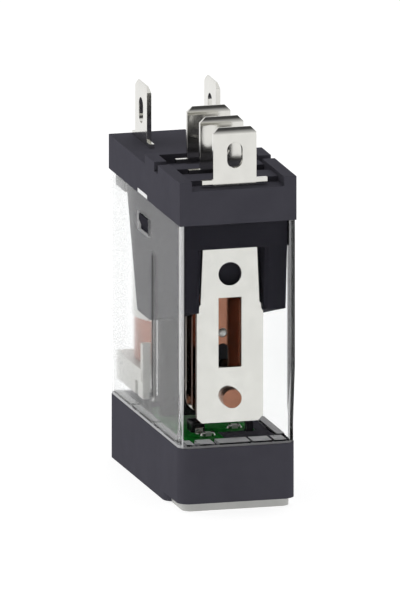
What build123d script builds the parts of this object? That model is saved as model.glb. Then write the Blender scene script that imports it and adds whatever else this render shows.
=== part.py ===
from build123d import *

import os

# Slim one-pole changeover relay for a plug-in socket, standing on its end cap with the blades up.
# Millimetres. X runs across the width, Y along the length and Z up. The origin is the centre of
# the underside of the end cap. "Depth" is the distance behind the near end face, along +Y.

# Outline of the case
WIDTH = 12.7
LENGTH = 28.4
CAP_TOP = 6.85
HEADER_BOTTOM = 30.85
DECK = 34.55
RIM = 35.55
BLADE_TIP = 40.9
COIL_BLADE_TIP = 40.85
CORNER_LOW = 1.31
CORNER_HIGH = 0.5

# Top of the header
RIM_X = 5.02
RIM_DEPTHS = ((0, 8.75), (10.25, 13.95))
CROSS_WALL = (13.35, 13.95)
RIDGE_TOP = 35.1
RIDGE_DEPTHS = ((2.5, 5.6), (8.1, 10.3))
NOTCH_X, NOTCH_DEPTH, NOTCH_Z = 1.95, 27.75, 33.45

# Sheet metal of the terminals
SHEET = 0.5
BLADE_WIDTH = 4.7
SHOULDER_WIDTH = 7.1
SHOULDER_TOP = 35.33
SHOULDER_HEIGHT = 0.45
BLADE_CORNER = 0.6
NOSE_LENGTH = 0.92
NOSE_INSET = 0.18
HOLE_LONG = 2.76
HOLE_WIDE = 1.68
HOLE_Z = 37.9
JOGGLE_Z = 31.6
NO_BLADE, COMMON_BLADE, NC_BLADE = 1.3, 6.5, 11.7
NO_PLATE = 3.28
NC_PLATE = 8.2
JOGGLE_HALF = 2.9
WAIST_HALF, WAIST_Z = 2.95, 27.4
NO_HALF, NO_SHOULDER_HALF = 3.6, 3.2
NO_SHOULDER_Z, NO_FOOT, NO_CORNER = 21.5, 8.75, 0.55
NC_HALF, NC_HALF_Z, NC_FOOT, NC_CORNER = 3.4, 20.0, 9.0, 1.4
PLATE_HOLE_RADIUS, PLATE_HOLE_Z = 1.25, 24.7
WINDOW_LENGTH = 7.5
NO_WINDOW_WIDTH, NO_WINDOW_Z = 2.5, 18.4
NC_WINDOW_WIDTH, NC_WINDOW_Z = 2.6, 18.1
COMMON_FOOT = 27.0
TAIL_DEPTHS, TAIL_Z = (25.3, 26.5), 29.3
COIL_BLADE_X = 3.75
COIL_BLADE_DEPTH = 24.15

# Contacts
CONTACT_Z = 11.45
CONTACT_RADIUS = 1.25
SHANK_RADIUS = 0.6
SPRING_DEPTH = 6.24
SPRING_SHEET = 0.2
SPRING_HALF = 3.3
SPRING_FOOT = 9.2
SPRING_HINGE_Z = 28.6
NO_CONTACT_FACE = 4.68
MOVING_FRONT = 5.26
MOVING_REAR = 7.32
NC_CONTACT_FACE = 7.36
CONTACT_CHAMFER = 0.2
TAIL_RADIUS, TAIL_LENGTH, TAIL_TAPER = 1.08, 0.95, 4
SET_HEAD_RADIUS, SET_HEAD_HEIGHT = 1.0, 0.5
MOVING_RADIUS = 1.15
SPRING_TOP_HALF, SPRING_TOP_Z = 2.2, 29.3
SPRING_TAPER = ((2.2, 26.6), (2.9, 24.0))
SPRING_SHOULDER_Z, SPRING_CORNER = 19.5, 0.6
SPRING_SLOT_LENGTH, SPRING_SLOT_WIDTH, SPRING_SLOT_Z = 3.4, 1.2, 14.85
NIB_HOLE_RADIUS = 0.5
RIVET_X = 1.3
RIVET_HOLE_RADIUS, RIVET_SHANK_RADIUS = 0.5, 0.4
RIVET_HEAD_RADIUS, RIVET_HEAD_HEIGHT = 0.75, 0.3
RIVET_TAIL_RADIUS, RIVET_TAIL_HEIGHT = 0.7, 0.3
RIVET_GAP = 0.06

# Magnet system
COIL_DEPTH = 23.0
CORE_RADIUS = 2.0
TUBE_RADIUS = 2.6
WINDING_RADIUS = 4.75
TAPE_RADIUS = 4.9
FLANGE_Z = 10.7
WINDING_Z = 11.4
WINDING_TOP = 27.6
FLANGE_TOP = 28.5
TAPE_Z = 16.1
POLE_Z = 9.85
YOKE_DEPTH = 16.2
YOKE_SHEET = 1.0
YOKE_TOP = 29.55
SHANK_TOP = 29.62
YOKE_HALF = 3.2
ARMATURE_TOP = 9.4
ARMATURE_SHEET = 0.9
ARM_DEPTH = 15.2
ARM_SHEET = 0.6
ARM_HALF = 4.9
ARM_LEG = 0.7
ARM_TOP = 18.3
CHEEK_X = (4.6, 5.5)
BOBBIN_DEPTHS = (18.2, 27.8)
POST_DEPTHS = (17.3, 18.2)
CHEEK_FOOT, POST_TOP = 8.4, 14.3
TOP_FLANGE_RADIUS = 4.95
POLE_RADIUS, RIVETED_RADIUS, RIVETED_TOP = 2.9, 1.7, 29.9
YOKE_FAR, YOKE_BEND = 25.6, 0.9
ARMATURE_HALF, ARMATURE_FAR, ARMATURE_CORNER = 3.2, 26.0, 0.8
CROSSBAR_Z = 16.6
LEAF_HALF, LEAF_SHEET = 1.5, 0.15
LEAF_FOOT, LEAF_TOP, LEAF_LIP = 9.85, 15.0, 10.0
LEAF_RIVET_RADIUS, LEAF_RIVET_HEIGHT, LEAF_RIVET_Z = 0.6, 0.2, 13.8
LEAD_DEPTH, LEAD_RADIUS, LEAD_NOTCH = 26.0, 0.12, 0.35
FIT = 0.02

# Card
CARD_Z = 17.7
CARD_NEAR, CARD_FAR = 6.5, 15.14
CARD_HALF, CARD_HALF_HEIGHT = 0.8, 1.0
GUIDE_DEPTHS = (9.2, 12.9)
GUIDE_HALF, GUIDE_HALF_HEIGHT = 1.1, 1.3
PEG_FAR, PEG_RADIUS = 16.0, 0.35
NIB_TIP, NIB_RADIUS = 5.87, 0.38

# Cover
COVER_INSET = 0.05
COVER_WALL = 0.4
FLANGE_SHEET = 0.35
COVER_CORNER_Z = (8.9, 15.0)
WINDOW_DEPTHS = (12.9, 17.1)
WINDOW_Z = (26.85, 28.85)
LEDGE_X = 5.05
LEDGE_DEPTHS = ((3.2, 11.4), (12.2, 20.0), (20.8, 27.2))
TONGUE_X, TONGUE_FOOT = (5.2, 5.8), 5.3
TONGUE_DEPTHS = ((8.0, 11.0), (18.0, 20.0))
TOOTH_DEPTHS = (0.3, 2.6)
TEETH_X = ((-5.4, -4.6), (-4.05, -2.4), (-1.9, 1.5), (1.75, 3.8), (4.1, 5.4))
PIP_X, PIP_DEPTH, PIP_TOP, PIP_RADIUS = -4.33, 0.64, 7.35, 0.27
RIB_X, RIB_DEPTHS, RIB_Z = 5.4, (11.75, 12.1), (10.0, 25.3)
TAB_DEPTHS, TAB_TOP = (13.15, 17.05), 31.3
TAB_GAP = 0.05

# Header skirts
SKIRT_OUTER = 5.8
SKIRT_INNER = 3.5
SKIRT_THIN = 5.1
SKIRT_CHAMFER = 0.4
SKIRT_FRONT, SKIRT_FRONT_Z = 2.4, 20.85
SKIRT_MIDDLE = 13.4
SKIRT_Z = 17.8
SKIRT_NEAR = 1.5
SKIRT_COIL, SKIRT_COIL_TOP = 18.4, 22.9
BAND_NEAR, BAND_Z = 1.0, 27.95
INNER_WALL_HALF, INNER_WALL_DEPTHS, INNER_WALL_Z = 3.4, (3.9, 5.4), 22.6
LUG_DEPTHS, LUG_X = (13.1, 16.9), 6.2
LUG_TOP, LUG_NOSE, LUG_FOOT = 28.6, 27.9, 27.0
FAR_LUG_X, FAR_LUG_DEPTHS, FAR_LUG_Z = 4.6, (23.3, 27.0), 29.4
GROOVE_X, GROOVE_DEPTHS, GROOVE_Z = 5.35, (11.6, 12.25), (17.0, 25.6)
TAB_NOTCH_X = 5.9
BARRIER_DEPTHS = (13.6, 14.4)
BARRIER_FOOT, BARRIER_STEP = 7.3, 17.6
BARRIER_HALF, BARRIER_FOOT_HALF = 3.4, 4.5
BARRIER_WINDOW = 1.2

# End cap
STEP_DEPTH = 5.5
STEP_HEIGHT = 0.9
CAP_FLOOR = 2.1
BOARD_TOP = 6.8
BOARD_BOTTOM = 6.0
SEAT_GAP = 0.05
BOARD_LEFT, BOARD_MIDDLE, BOARD_RIGHT = -5.1, -0.3, 3.8
BOARD_STEP_DEPTH = 7.0
BOARD_NEAR, BOARD_FAR = 2.8, 20.2
FINGER_X = (2.7, 3.4)
FINGER_DEPTHS = (6.65, 7.35)
FLAP_AXIS_DEPTH = 4.85
FLAP_AXIS_Z = 0.45
FLAP_PIN_RADIUS = 0.18
FLAG_DEPTH = 22.6
FLAG_AXIS_Z = 4.6
FLAG_PIN_RADIUS = 0.3
LENS_X, LENS_DEPTH, LENS_RADIUS = -2.6, 9.5, 1.1
BUTTON_DEPTH = 2.5
BOARD_ROOM_X, BOARD_ROOM_DEPTHS = (-4.6, 3.6), (1.2, 19.0)
BOARD_CORNER = 0.5
FINGER_NOTCH_GAP = 0.15
FLAG_POCKET_HALF, FLAG_POCKET_DEPTHS, FLAG_POCKET_Z = 1.4, (20.5, 26.8), 1.4
FLAG_PIN_HALF = 2.2
FLAG_WINDOW_HALF, FLAG_WINDOW_DEPTHS = 1.2, (21.2, 24.0)
KNUCKLE_X, KNUCKLE_RADIUS = (3.2, 4.2), 0.35
LAMP_FOOT, LAMP_COLLAR, LAMP_RADIUS, LAMP_COLLAR_RADIUS = 4.0, 5.4, 0.9, 1.1
DIODE_X, DIODE_DEPTHS, DIODE_HEIGHT = (-3.0, -1.5), (7.6, 9.8), 1.1
CHIP_PLACES = ((1.9, 8.6), (-1.7, 5.9), (-0.6, 11.8))
CHIP_HALF_LENGTH, CHIP_HALF_WIDTH, CHIP_HEIGHT = 0.55, 0.3, 0.4
PIN_X, PIN_HALF = (-5.0, -4.7), 0.15
PIN_PLACES = ((16.4, 9.3), (17.75, 8.4), (18.9, 8.4))

# Flag
FLAG_HALF, FLAG_HUB_RADIUS, FLAG_HUB_HALF = 1.0, 0.75, 1.2
FLAG_FACE_HALF, FLAG_NECK_HALF, FLAG_FACE_Z, FLAG_FACE_RADIUS = 1.2, 0.3, 2.1, 2.8
FLAG_ARM_HALF, FLAG_ARM_SHEET, FLAG_ARM_FAR, FLAG_ARM_TOP = 0.6, 0.6, 25.2, 8.4

# Test button
HEAD_HALF, HEAD_Z = 1.4, 1.0
HEAD_COLLAR_HALF, HEAD_COLLAR_Z = 1.8, (2.2, 3.0)
ARM_DEPTHS = (2.6, 3.8)
FINGER_TOP, FINGER_CHAMFER = 8.4, 0.45
SPRING_PEG_RADIUS, SPRING_PEG_TOP = 0.5, 3.8
HELIX_Z, HELIX_PITCH, HELIX_HEIGHT = 3.15, 0.6, 2.7
HELIX_RADIUS, HELIX_WIRE = 0.75, 0.12

# Flap
FLAP_NEAR, FLAP_HALF, FLAP_PIN_HALF = 0.35, 5.8, 5.6
FLAP_FOOT, FLAP_SHEET, FLAP_CORNER = 0.05, 0.8, 1.0
FLAP_BARREL_RADIUS = 0.4
FLAP_NOTCH_X, FLAP_NOTCH_DEPTHS = (3.1, 4.3), (4.3, 5.3)


def at(depth):
    """Y of a point that lies this far behind the near end face."""
    return depth - LENGTH / 2


def front_plane(depth):
    """Plane across the case: local x is X, local y is Z, and it faces the near end."""
    return Plane.XZ.offset(-at(depth))


def block(x_range, depth_range, z_range, mode=Mode.ADD):
    """Rectangular block between two limits on each axis."""
    (x0, x1), (d0, d1), (z0, z1) = x_range, depth_range, z_range
    with Locations(((x0 + x1) / 2, at((d0 + d1) / 2), (z0 + z1) / 2)):
        Box(x1 - x0, d1 - d0, z1 - z0, mode=mode)


def both_sides(x_range):
    """The same stretch of X on the right and on the left."""
    x0, x1 = x_range
    return ((x0, x1), (-x1, -x0))


def disc(depth_range, radius, x=0.0, z=0.0, mode=Mode.ADD):
    """Cylinder whose axis runs along the length."""
    d0, d1 = depth_range
    with Locations(Location((x, at((d0 + d1) / 2), z), (90, 0, 0))):
        Cylinder(radius, d1 - d0, mode=mode)


def cross_pin(x_range, radius, depth, z, mode=Mode.ADD):
    """Cylinder whose axis runs across the width."""
    x0, x1 = x_range
    with Locations(Location(((x0 + x1) / 2, at(depth), z), (0, 90, 0))):
        Cylinder(radius, x1 - x0, mode=mode)


def post(x, depth, z_range, radius, mode=Mode.ADD):
    """Upright cylinder."""
    z0, z1 = z_range
    with Locations((x, at(depth), (z0 + z1) / 2)):
        Cylinder(radius, z1 - z0, mode=mode)


def save(part, name):
    """Name the finished piece and write it as its own file."""
    part.label = name
    export_step(part, f"parts/{name}.step")


def blade_outline(plane, centre, bottom, tip, shoulder_z):
    """Male blade with a shoulder, clipped corners and an oblong hole."""
    half, wide = BLADE_WIDTH / 2, SHOULDER_WIDTH / 2
    right = [
        (half, bottom),
        (half, shoulder_z),
        (wide, shoulder_z),
        (wide, shoulder_z + SHOULDER_HEIGHT),
        (half, shoulder_z + SHOULDER_HEIGHT),
        (half, tip - BLADE_CORNER),
        (half - BLADE_CORNER, tip),
    ]
    left = [(-u, v) for u, v in reversed(right)]
    with BuildSketch(plane) as outline:
        with Locations((centre, 0)):
            Polygon(*right, *left, align=None)
        with Locations((centre, HOLE_Z)):
            SlotOverall(HOLE_LONG, HOLE_WIDE, rotation=90, mode=Mode.SUBTRACT)
    return outline.sketch


def nose_shavings(plane, centre, tip):
    """What is shaved off the two broad sides of a blade's tip, seen edge-on, to round them in."""
    with BuildSketch(plane) as shavings:
        for side in (-1, 1):
            face = centre + side * SHEET / 2
            start, end = (face, tip - NOSE_LENGTH), (face - side * NOSE_INSET, tip)
            with BuildLine():
                TangentArc(start, end, tangent=(0, 1))
                Polyline(end, (face, tip), start)
            make_face()
    return shavings.sketch


def contact_blade(depth, bottom):
    """Blade for one contact, across the case."""
    shoulder_z = SHOULDER_TOP - SHOULDER_HEIGHT
    plane = front_plane(depth + SHEET)
    extrude(blade_outline(plane, 0, bottom, BLADE_TIP, shoulder_z), amount=SHEET)
    side_plane = Plane.YZ.offset(-BLADE_WIDTH / 2)
    shavings = nose_shavings(side_plane, at(depth + SHEET / 2), BLADE_TIP)
    extrude(shavings, amount=BLADE_WIDTH, mode=Mode.SUBTRACT)


def skirt_profile(plane, reaches_coil):
    """Side view of a header skirt, which hangs inside the cover."""
    near = [(SKIRT_NEAR, HEADER_BOTTOM), (SKIRT_FRONT, SKIRT_FRONT_Z), (SKIRT_MIDDLE, SKIRT_Z)]
    far = [(SKIRT_COIL, SKIRT_Z), (SKIRT_COIL_TOP, HEADER_BOTTOM)]
    outline = near + far if reaches_coil else near + [(SKIRT_MIDDLE, HEADER_BOTTOM)]
    with BuildSketch(plane) as profile:
        Polygon(*[(at(depth), z) for depth, z in outline], align=None)
    return profile.sketch


def on_skirt_front(edge):
    """True for the inner edge down the front of a skirt, below the band."""
    centre = edge.center()
    inner = abs(abs(centre.X) - SKIRT_INNER) < 0.01
    return inner and centre.Y < at(SKIRT_FRONT) and SKIRT_FRONT_Z < centre.Z < BAND_Z and edge.length > 5


def case_section(z, inset, corner):
    """Rounded rectangular section of the case, drawn in by the inset."""
    with BuildSketch(Plane.XY.offset(z)) as section:
        RectangleRounded(WIDTH - 2 * inset, LENGTH - 2 * inset, corner - inset)
    return section.sketch


os.makedirs("parts", exist_ok=True)

# ---------------------------------------------------------------------------------------------
# Terminals: bent from sheet, moulded into the header
# ---------------------------------------------------------------------------------------------

# Normally open terminal: first blade, joggled back to the broad contact plate
with BuildPart() as no_terminal:
    contact_blade(NO_BLADE, JOGGLE_Z)
    joggle_z = (JOGGLE_Z, JOGGLE_Z + SHEET)
    block((-JOGGLE_HALF, JOGGLE_HALF), (NO_BLADE, NO_PLATE + SHEET), joggle_z)
    with BuildSketch(front_plane(NO_PLATE + SHEET)):
        plate_half = [
            (JOGGLE_HALF, JOGGLE_Z + SHEET),
            (WAIST_HALF, WAIST_Z),
            (NO_SHOULDER_HALF, NO_SHOULDER_Z),
            (NO_HALF, NO_SHOULDER_Z - 0.35),
            (NO_HALF, NO_FOOT + NO_CORNER),
            (NO_HALF - NO_CORNER, NO_FOOT),
        ]
        Polygon(*plate_half, *[(-u, v) for u, v in reversed(plate_half)], align=None)
        with Locations((0, PLATE_HOLE_Z)):
            Circle(PLATE_HOLE_RADIUS, mode=Mode.SUBTRACT)
        with Locations((0, NO_WINDOW_Z)):
            Rectangle(NO_WINDOW_WIDTH, WINDOW_LENGTH, mode=Mode.SUBTRACT)
        with Locations((0, CONTACT_Z)):
            Circle(SHANK_RADIUS, mode=Mode.SUBTRACT)
    extrude(amount=SHEET)
save(no_terminal.part, "no_terminal")

# Common terminal: straight blade whose lower tab carries the moving spring
with BuildPart() as common_terminal:
    contact_blade(COMMON_BLADE, COMMON_FOOT)
    sheet_depths = (COMMON_BLADE, COMMON_BLADE + SHEET)
    for x in (-RIVET_X, RIVET_X):
        disc(sheet_depths, RIVET_SHANK_RADIUS, x, SPRING_HINGE_Z, Mode.SUBTRACT)
save(common_terminal.part, "common_terminal")

# Normally closed terminal: third blade, joggled forward to the plate behind the spring
with BuildPart() as nc_terminal:
    contact_blade(NC_BLADE, JOGGLE_Z)
    block((-JOGGLE_HALF, JOGGLE_HALF), (NC_PLATE, NC_BLADE + SHEET), joggle_z)
    with BuildSketch(front_plane(NC_PLATE + SHEET)):
        plate_half = [(JOGGLE_HALF, JOGGLE_Z + SHEET), (WAIST_HALF, WAIST_Z)]
        plate_half += [(NC_HALF, NC_HALF_Z), (NC_HALF, NC_FOOT)]
        plate = Polygon(*plate_half, *[(-u, v) for u, v in reversed(plate_half)], align=None)
        fillet(plate.vertices().group_by(Axis.Z)[0], NC_CORNER)
        with Locations((0, NC_WINDOW_Z)):
            Rectangle(NC_WINDOW_WIDTH, WINDOW_LENGTH, mode=Mode.SUBTRACT)
        with Locations((0, CONTACT_Z)):
            Circle(SHANK_RADIUS, mode=Mode.SUBTRACT)
    extrude(amount=SHEET)
save(nc_terminal.part, "nc_terminal")

# Coil terminals: two blades along the case, each with a tail for the coil wire
coil_terminals = {}
for side, name in ((-1, "coil_terminal_left"), (1, "coil_terminal_right")):
    blade_plane = Plane.YZ.offset(side * COIL_BLADE_X - SHEET / 2)
    with BuildPart() as coil_terminal:
        outline = blade_outline(blade_plane, at(COIL_BLADE_DEPTH), JOGGLE_Z, COIL_BLADE_TIP, DECK)
        extrude(outline, amount=SHEET)
        blade_x = side * COIL_BLADE_X
        near_edge = front_plane(COIL_BLADE_DEPTH + BLADE_WIDTH / 2)
        shavings = nose_shavings(near_edge, blade_x, COIL_BLADE_TIP)
        extrude(shavings, amount=BLADE_WIDTH, mode=Mode.SUBTRACT)
        tail_x = (blade_x - SHEET / 2, blade_x + SHEET / 2)
        block(tail_x, TAIL_DEPTHS, (TAIL_Z, JOGGLE_Z))
    save(coil_terminal.part, name)
    coil_terminals[name] = coil_terminal.part

# ---------------------------------------------------------------------------------------------
# Header: the moulding that holds every terminal
# ---------------------------------------------------------------------------------------------

with BuildPart() as header:
    with BuildSketch(Plane.XY.offset(HEADER_BOTTOM)):
        Rectangle(WIDTH, LENGTH)
    extrude(amount=DECK - HEADER_BOTTOM)
    # Rims beside the contact blades, cross wall behind them and ridges between them
    for x_range in both_sides((RIM_X, WIDTH / 2)):
        for depths in RIM_DEPTHS:
            block(x_range, depths, (DECK, RIM))
    block((-RIM_X, RIM_X), CROSS_WALL, (DECK, RIM))
    for depths in RIDGE_DEPTHS:
        block((-RIM_X, RIM_X), depths, (DECK, RIDGE_TOP))
    # Polarising notch in the far edge
    block((NOTCH_X, WIDTH / 2), (NOTCH_DEPTH, LENGTH), (NOTCH_Z, DECK), Mode.SUBTRACT)
    # Band across the near end, inside the cover
    block((-SKIRT_OUTER, SKIRT_OUTER), (BAND_NEAR, SKIRT_FRONT), (BAND_Z, HEADER_BOTTOM))
    # Skirts: thick beside the contacts, thin beside the coil
    for side in (-1, 1):
        inner = min(side * SKIRT_INNER, side * SKIRT_OUTER)
        extrude(skirt_profile(Plane.YZ.offset(inner), False), amount=SKIRT_OUTER - SKIRT_INNER)
        thin = min(side * SKIRT_THIN, side * SKIRT_OUTER)
        extrude(skirt_profile(Plane.YZ.offset(thin), True), amount=SKIRT_OUTER - SKIRT_THIN)
    skirt_edges = [edge for edge in header.edges() if on_skirt_front(edge)]
    chamfer(skirt_edges, SKIRT_CHAMFER)
    # Wall between the normally open plate and the top of the moving spring
    block((-INNER_WALL_HALF, INNER_WALL_HALF), INNER_WALL_DEPTHS, (INNER_WALL_Z, HEADER_BOTTOM))
    # Lugs that stand in the cover's windows, small lugs at the far end, grooves for its ribs
    for side in (-1, 1):
        with BuildSketch(front_plane(LUG_DEPTHS[1])):
            lug = [(SKIRT_OUTER, LUG_TOP), (LUG_X, LUG_TOP), (LUG_X, LUG_NOSE), (SKIRT_OUTER, LUG_FOOT)]
            Polygon(*[(side * x, z) for x, z in lug], align=None)
        extrude(amount=LUG_DEPTHS[1] - LUG_DEPTHS[0])
    for x_range in both_sides((FAR_LUG_X, SKIRT_OUTER)):
        block(x_range, FAR_LUG_DEPTHS, (FAR_LUG_Z, HEADER_BOTTOM))
    for x_range in both_sides((GROOVE_X, SKIRT_OUTER)):
        block(x_range, GROOVE_DEPTHS, GROOVE_Z, Mode.SUBTRACT)
    # Notches for the tabs on the cover's upper edge
    tab_notch = (TAB_DEPTHS[0] - TAB_GAP, TAB_DEPTHS[1] + TAB_GAP)
    for x_range in both_sides((TAB_NOTCH_X, WIDTH / 2)):
        block(x_range, tab_notch, (HEADER_BOTTOM, TAB_TOP + TAB_GAP), Mode.SUBTRACT)
    # The terminals are moulded in
    add(no_terminal.part, mode=Mode.SUBTRACT)
    add(common_terminal.part, mode=Mode.SUBTRACT)
    add(nc_terminal.part, mode=Mode.SUBTRACT)
    for terminal in coil_terminals.values():
        add(terminal, mode=Mode.SUBTRACT)
save(header.part, "header")

# Barrier that keeps the contacts apart from the coil, with a window for the card
with BuildPart() as barrier:
    block((-BARRIER_HALF, BARRIER_HALF), BARRIER_DEPTHS, (BARRIER_STEP, HEADER_BOTTOM))
    block((-BARRIER_FOOT_HALF, BARRIER_FOOT_HALF), BARRIER_DEPTHS, (BARRIER_FOOT, BARRIER_STEP))
    card_z = (CARD_Z - GUIDE_HALF_HEIGHT, CARD_Z + GUIDE_HALF_HEIGHT)
    block((-BARRIER_WINDOW, BARRIER_WINDOW), BARRIER_DEPTHS, card_z, Mode.SUBTRACT)
save(barrier.part, "insulating_barrier")

# ---------------------------------------------------------------------------------------------
# Cover: clear shell between header and end cap
# ---------------------------------------------------------------------------------------------

cover_levels = [(CAP_TOP, CORNER_LOW), (COVER_CORNER_Z[0], CORNER_LOW), (COVER_CORNER_Z[1], CORNER_HIGH)]
cover_levels.append((HEADER_BOTTOM, CORNER_HIGH))
with BuildPart() as cover:
    for inset, mode in ((COVER_INSET, Mode.ADD), (COVER_INSET + COVER_WALL, Mode.SUBTRACT)):
        for (z0, corner0), (z1, corner1) in zip(cover_levels, cover_levels[1:]):
            lower, upper = case_section(z0, inset, corner0), case_section(z1, inset, corner1)
            loft([lower, upper], mode=mode)
    inside = WIDTH / 2 - COVER_INSET - COVER_WALL
    ledge = (CAP_TOP, CAP_TOP + FLANGE_SHEET)
    # Ledge along the foot of the long sides, in lengths, with tongues down into the end cap
    into_wall = inside + COVER_WALL / 2
    for x_range in both_sides((LEDGE_X, into_wall)):
        for depths in LEDGE_DEPTHS:
            block(x_range, depths, ledge)
    for x_range in both_sides(TONGUE_X):
        for depths in TONGUE_DEPTHS:
            block(x_range, depths, (TONGUE_FOOT, CAP_TOP))
    # Teeth along the foot of the near end
    for x_range in TEETH_X:
        block(x_range, TOOTH_DEPTHS, ledge)
    post(PIP_X, PIP_DEPTH, (CAP_TOP, PIP_TOP), PIP_RADIUS)
    # Guide ribs, tabs and snap windows on the long sides
    for x_range in both_sides((RIB_X, into_wall)):
        block(x_range, RIB_DEPTHS, RIB_Z)
    for x_range in both_sides((inside + FIT, WIDTH / 2 - COVER_INSET)):
        block(x_range, TAB_DEPTHS, (HEADER_BOTTOM, TAB_TOP))
    for x_range in both_sides((inside - 0.1, WIDTH / 2)):
        block(x_range, WINDOW_DEPTHS, WINDOW_Z, Mode.SUBTRACT)
save(cover.part, "cover")

# ---------------------------------------------------------------------------------------------
# Contacts, moving spring and card
# ---------------------------------------------------------------------------------------------

# Fixed contact on the normally open plate: domed tail in front, contact head behind
with BuildPart() as no_contact:
    with BuildSketch(front_plane(NO_PLATE)):
        with Locations((0, CONTACT_Z)):
            Circle(TAIL_RADIUS)
    extrude(amount=TAIL_LENGTH, taper=TAIL_TAPER)
    disc((NO_PLATE, NO_PLATE + SHEET), SHANK_RADIUS, z=CONTACT_Z)
    disc((NO_PLATE + SHEET, NO_CONTACT_FACE), CONTACT_RADIUS, z=CONTACT_Z)
    chamfer(no_contact.edges().group_by(Axis.Y)[-1], CONTACT_CHAMFER)
save(no_contact.part, "no_contact")

# Fixed contact on the normally closed plate
with BuildPart() as nc_contact:
    disc((NC_CONTACT_FACE, NC_PLATE), CONTACT_RADIUS, z=CONTACT_Z)
    disc((NC_PLATE, NC_PLATE + SHEET), SHANK_RADIUS, z=CONTACT_Z)
    set_head = (NC_PLATE + SHEET, NC_PLATE + SHEET + SET_HEAD_HEIGHT)
    disc(set_head, SET_HEAD_RADIUS, z=CONTACT_Z)
    chamfer(nc_contact.edges().group_by(Axis.Y)[0], CONTACT_CHAMFER)
save(nc_contact.part, "nc_contact")

# Moving contact: one rivet with a head on each side of the spring
with BuildPart() as moving_contact:
    disc((MOVING_FRONT, SPRING_DEPTH), MOVING_RADIUS, z=CONTACT_Z)
    disc((SPRING_DEPTH, SPRING_DEPTH + SPRING_SHEET), SHANK_RADIUS, z=CONTACT_Z)
    disc((SPRING_DEPTH + SPRING_SHEET, MOVING_REAR), MOVING_RADIUS, z=CONTACT_Z)
    chamfer(moving_contact.edges().group_by(Axis.Y)[0], CONTACT_CHAMFER)
    chamfer(moving_contact.edges().group_by(Axis.Y)[-1], CONTACT_CHAMFER)
save(moving_contact.part, "moving_contact")

# Moving spring: hangs from the common terminal, with a hole for the card's nib and a slot
with BuildPart() as contact_spring:
    with BuildSketch(front_plane(SPRING_DEPTH + SPRING_SHEET)):
        spring_half = [
            (SPRING_TOP_HALF, SPRING_TOP_Z),
            *SPRING_TAPER,
            (SPRING_HALF, SPRING_SHOULDER_Z),
            (SPRING_HALF, SPRING_FOOT + SPRING_CORNER),
            (SPRING_HALF - SPRING_CORNER, SPRING_FOOT),
        ]
        Polygon(*spring_half, *[(-u, v) for u, v in reversed(spring_half)], align=None)
        with Locations((0, CARD_Z)):
            Circle(NIB_HOLE_RADIUS, mode=Mode.SUBTRACT)
        with Locations((0, SPRING_SLOT_Z)):
            SlotOverall(SPRING_SLOT_LENGTH, SPRING_SLOT_WIDTH, rotation=90, mode=Mode.SUBTRACT)
        with Locations((0, CONTACT_Z)):
            Circle(SHANK_RADIUS, mode=Mode.SUBTRACT)
        with Locations((-RIVET_X, SPRING_HINGE_Z), (RIVET_X, SPRING_HINGE_Z)):
            Circle(RIVET_HOLE_RADIUS, mode=Mode.SUBTRACT)
    extrude(amount=SPRING_SHEET)
save(contact_spring.part, "contact_spring")

# Two rivets that hold the top of the spring to the common terminal
with BuildPart() as spring_rivets:
    under_head, behind = SPRING_DEPTH - RIVET_GAP, COMMON_BLADE + SHEET
    for x in (-RIVET_X, RIVET_X):
        disc((under_head - RIVET_HEAD_HEIGHT, under_head), RIVET_HEAD_RADIUS, x, SPRING_HINGE_Z)
        disc((under_head, behind), RIVET_SHANK_RADIUS, x, SPRING_HINGE_Z)
        disc((behind, behind + RIVET_TAIL_HEIGHT), RIVET_TAIL_RADIUS, x, SPRING_HINGE_Z)
save(spring_rivets.part, "spring_rivets")

# Card: slides along the case and carries the armature's motion to the spring
with BuildPart() as card:
    bar_z = (CARD_Z - CARD_HALF_HEIGHT, CARD_Z + CARD_HALF_HEIGHT)
    block((-CARD_HALF, CARD_HALF), (CARD_NEAR, CARD_FAR), bar_z)
    block((-GUIDE_HALF, GUIDE_HALF), GUIDE_DEPTHS, card_z)
    disc((NIB_TIP + NIB_RADIUS, CARD_NEAR), NIB_RADIUS, z=CARD_Z)
    with Locations((0, at(NIB_TIP + NIB_RADIUS), CARD_Z)):
        Sphere(NIB_RADIUS)
    disc((CARD_FAR, PEG_FAR), PEG_RADIUS, z=CARD_Z)
save(card.part, "card")

# ---------------------------------------------------------------------------------------------
# Magnet system
# ---------------------------------------------------------------------------------------------

# Bobbin: tube with a round top flange, a broad lower flange and two cheeks beside the armature
with BuildPart() as bobbin:
    post(0, COIL_DEPTH, (FLANGE_Z, FLANGE_TOP), TUBE_RADIUS)
    post(0, COIL_DEPTH, (WINDING_TOP, FLANGE_TOP), TOP_FLANGE_RADIUS)
    block((-CHEEK_X[1], CHEEK_X[1]), BOBBIN_DEPTHS, (FLANGE_Z, WINDING_Z))
    for x_range in both_sides(CHEEK_X):
        block(x_range, BOBBIN_DEPTHS, (CHEEK_FOOT, FLANGE_Z))
        block(x_range, POST_DEPTHS, (CHEEK_FOOT, POST_TOP))
    # A latch hole in each post and a foot hole in each cheek
    for x_range in both_sides(CHEEK_X):
        block(x_range, (17.55, 17.95), (10.2, 11.4), Mode.SUBTRACT)
        block(x_range, (19.3, 20.3), (8.4, 9.9), Mode.SUBTRACT)
    # Notches in the top flange where the coil wires pass
    for side in (-1, 1):
        post(side * COIL_BLADE_X, LEAD_DEPTH, (WINDING_TOP, FLANGE_TOP), LEAD_NOTCH, Mode.SUBTRACT)
    post(0, COIL_DEPTH, (FLANGE_Z, FLANGE_TOP), CORE_RADIUS + 0.03, Mode.SUBTRACT)
save(bobbin.part, "bobbin")

with BuildPart() as coil_winding:
    post(0, COIL_DEPTH, (WINDING_Z + FIT, WINDING_TOP - FIT), WINDING_RADIUS)
    post(0, COIL_DEPTH, (WINDING_Z, WINDING_TOP), TUBE_RADIUS + FIT, Mode.SUBTRACT)
save(coil_winding.part, "coil_winding")

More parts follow.
